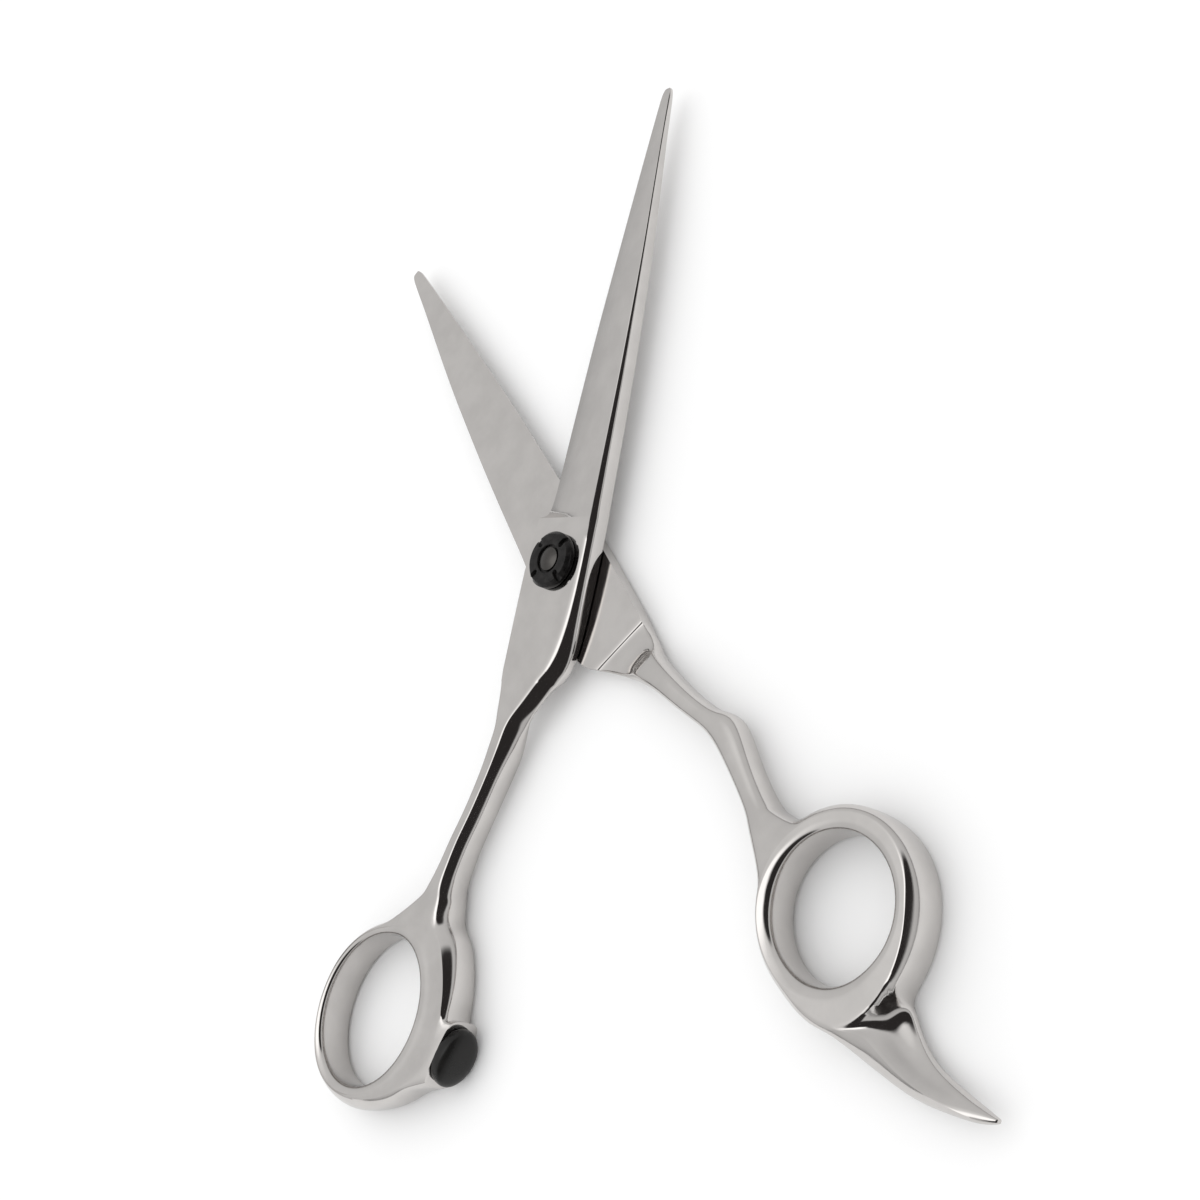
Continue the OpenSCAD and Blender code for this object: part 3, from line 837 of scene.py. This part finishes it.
def rubber(name):
    """Glossy black rubber."""
    n = Nodes(name)
    blotch = n.noise((400, 400, 400))
    n.link(n.mix(blotch, (0.006, 0.006, 0.006), (0.014, 0.013, 0.012)),
           n.shader.inputs["Base Color"])
    n.link(n.span(blotch, 0.25, 0.36, 0.3, 0.7), n.shader.inputs["Roughness"])
    n.shader.inputs["Specular IOR Level"].default_value = 0.3
    n.bump(n.noise((3000, 3000, 3000)), 0.15, 0.00002)
    return n.material


def turned_metal(name, base, roughness):
    """Plain turned metal of the small hidden pieces."""
    n = Nodes(name)
    n.shader.inputs["Metallic"].default_value = 1
    grain = n.noise((1500, 1500, 9000))
    darker = tuple(0.8 * c for c in base)
    n.link(n.mix(grain, darker, base), n.shader.inputs["Base Color"])
    n.link(n.span(grain, roughness, roughness + 0.15), n.shader.inputs["Roughness"])
    n.bump(grain, 0.2, 0.00002)
    return n.material


def nylon(name):
    """Milky white nylon."""
    n = Nodes(name)
    cloud = n.noise((700, 700, 700))
    n.link(n.mix(cloud, (0.78, 0.76, 0.70), (0.86, 0.85, 0.80)), n.shader.inputs["Base Color"])
    n.link(n.span(cloud, 0.4, 0.6), n.shader.inputs["Roughness"])
    n.bump(n.noise((5000, 5000, 5000)), 0.1, 0.00001)
    return n.material


def paint(piece, material):
    """Gives a piece one material in place of any others."""
    piece.data.materials.clear()
    piece.data.materials.append(material)


# ---- stage ---------------------------------------------------------------------------------------

def towards(azimuth, elevation):
    """Direction of length 1 at an azimuth and an elevation, degrees."""
    a, e = math.radians(azimuth), math.radians(elevation)
    return Vector((math.cos(a) * math.cos(e), math.sin(a) * math.cos(e), math.sin(e)))


def floor():
    """White paper under the shears, greyer in their reflections."""
    mesh = bmesh.new()
    bmesh.ops.create_grid(mesh, x_segments=1, y_segments=1, size=3)
    piece = new_object("floor", mesh)
    n = Nodes("floor_paper")
    paper = n.mix(n.noise((8, 8, 8)), (0.90, 0.90, 0.90), (0.93, 0.93, 0.93))
    n.link(n.mix(n.glossy_ray(), paper, FLOOR_IN_REFLECTIONS), n.shader.inputs["Base Color"])
    n.shader.inputs["Roughness"].default_value = 0.9
    n.shader.inputs["Specular IOR Level"].default_value = 0.1
    paint(piece, n.material)


def tent_colour(n, height):
    """Grey of the tent by the height of the direction."""
    levels = n.add("ShaderNodeValToRGB")
    n.link(height, levels.inputs["Fac"])
    stops = levels.color_ramp.elements
    stops[1].position = TENT_LEVELS[-1][0]
    for position, _ in TENT_LEVELS[1:-1]:
        stops.new(position)
    for stop, (_, level) in zip(stops, TENT_LEVELS):
        stop.color = (level, level, level, 1)
    return levels.outputs["Color"]


def dark_area(n, direction, height):
    """1 in the dark area of the tent, 0 outside it."""
    nearest = None
    for azimuth, elevation in DARK_CENTRES:
        closeness = n.add("ShaderNodeVectorMath")
        closeness.operation = "DOT_PRODUCT"
        closeness.inputs[1].default_value = towards(azimuth, elevation)
        n.link(direction, closeness.inputs[0])
        value = closeness.outputs["Value"]
        nearest = value if nearest is None else n.combine("MAXIMUM", nearest, value)
    inside = n.smooth_step(nearest, math.cos(math.radians(DARK_OUTER_RADIUS)),
                           math.cos(math.radians(DARK_RADIUS)))
    above = n.smooth_step(height, math.sin(math.radians(DARK_LOW)),
                          math.sin(math.radians(DARK_FULL)))
    return n.combine("MULTIPLY", inside, above)


def world():
    """Tent with a dark area on the camera's side, seen only in reflections. All else sees an
    even level."""
    made = bpy.data.worlds.new("tent")
    bpy.context.scene.world = made
    made.use_nodes = True
    n = Tree(made.node_tree)
    background = made.node_tree.nodes["Background"]
    direction = n.add("ShaderNodeTexCoord").outputs["Generated"]
    split = n.add("ShaderNodeSeparateXYZ")
    n.link(direction, split.inputs[0])
    height = split.outputs["Z"]
    tent = n.mix(dark_area(n, direction, height), tent_colour(n, height), DARK_COLOUR)
    n.link(n.mix(n.glossy_ray(), LIGHTING_LEVEL, tent), background.inputs["Color"])
    background.inputs["Strength"].default_value = TENT_STRENGTH
    made.cycles.sampling_method = "NONE"


def soft_light(name, azimuth, elevation, distance, size, watts):
    """Square area light aimed at the middle of the frame, left out of reflections."""
    data = bpy.data.lights.new(name, "AREA")
    data.size = size
    data.energy = watts
    made = bpy.data.objects.new(name, data)
    bpy.context.scene.collection.objects.link(made)
    back = towards(azimuth, elevation)
    made.location = back * distance
    made.rotation_mode = "QUATERNION"
    made.rotation_quaternion = back.to_track_quat("Z", "Y")
    made.visible_glossy = False


def camera():
    """Camera at the azimuth and elevation of the view, then rolled."""
    axis_angle = math.radians(158.8)      # direction in which the pivot axis leans in the picture
    distance = 270.75 * MM
    target = Vector((5.75 * MM, -8.03 * MM, FACE_Z))
    back = towards(azimuth=-36.9, elevation=41.9)
    level = Vector((0, 0, 1)).cross(back).normalized()
    upright = back.cross(level)
    right = math.sin(axis_angle) * level + math.cos(axis_angle) * upright
    up = back.cross(right)
    data = bpy.data.cameras.new("camera")
    data.lens = 55
    data.sensor_width = 36
    data.clip_start = 0.01
    made = bpy.data.objects.new("camera", data)
    bpy.context.scene.collection.objects.link(made)
    made.matrix_world = Matrix.Translation(target + back * distance) @ Matrix(
        (right, up, back)).transposed().to_4x4()
    bpy.context.scene.camera = made


# ---- the scene -----------------------------------------------------------------------------------

camera()
floor()
world()
soft_light("key", azimuth=175, elevation=55, distance=0.8, size=1.4, watts=1.4)
bpy.context.scene.view_settings.view_transform = "Standard"

thumb_steel = steel("thumb_polished_steel", -OPEN_ANGLE / 2)
finger_steel = steel("finger_polished_steel", OPEN_ANGLE / 2)

for (blade_piece, handle_piece), side, body, material in (
        (thumb_half(), "thumb", "thumb_half", thumb_steel),
        (finger_half(), "finger", "finger_half", finger_steel)):
    for piece, node in ((blade_piece, side + "_blade"), (handle_piece, side + "_handle")):
        shade(piece)
        paint(piece, material)
        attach(piece, body)
        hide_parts(node)

nut = nut_piece()
shade(nut)
paint(nut, dark_coat("nut_black_coat"))
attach(nut, "nut")
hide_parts("tension_nut")

pad = pad_piece()
shade(pad, sharp_degrees=60)
paint(pad, rubber("pad_black_rubber"))
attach(pad, "thumb_half")
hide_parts("silencer_pad")

bolt_metal = turned_metal("bolt_turned_steel", (0.10, 0.095, 0.09), 0.16)
spring_metal = turned_metal("spring_rolled_steel", (0.55, 0.54, 0.53), 0.2)
for node, material in (("pivot_bolt", bolt_metal), ("silencer_stud", bolt_metal),
                       ("spring_washer_lower", spring_metal), ("spring_washer_upper", spring_metal),
                       ("click_plate", spring_metal), ("blade_washer", nylon("washer_nylon")),
                       ("pivot_bushing", turned_metal("bushing_brass", (0.72, 0.55, 0.28), 0.25))):
    paint(NODES[node], material)
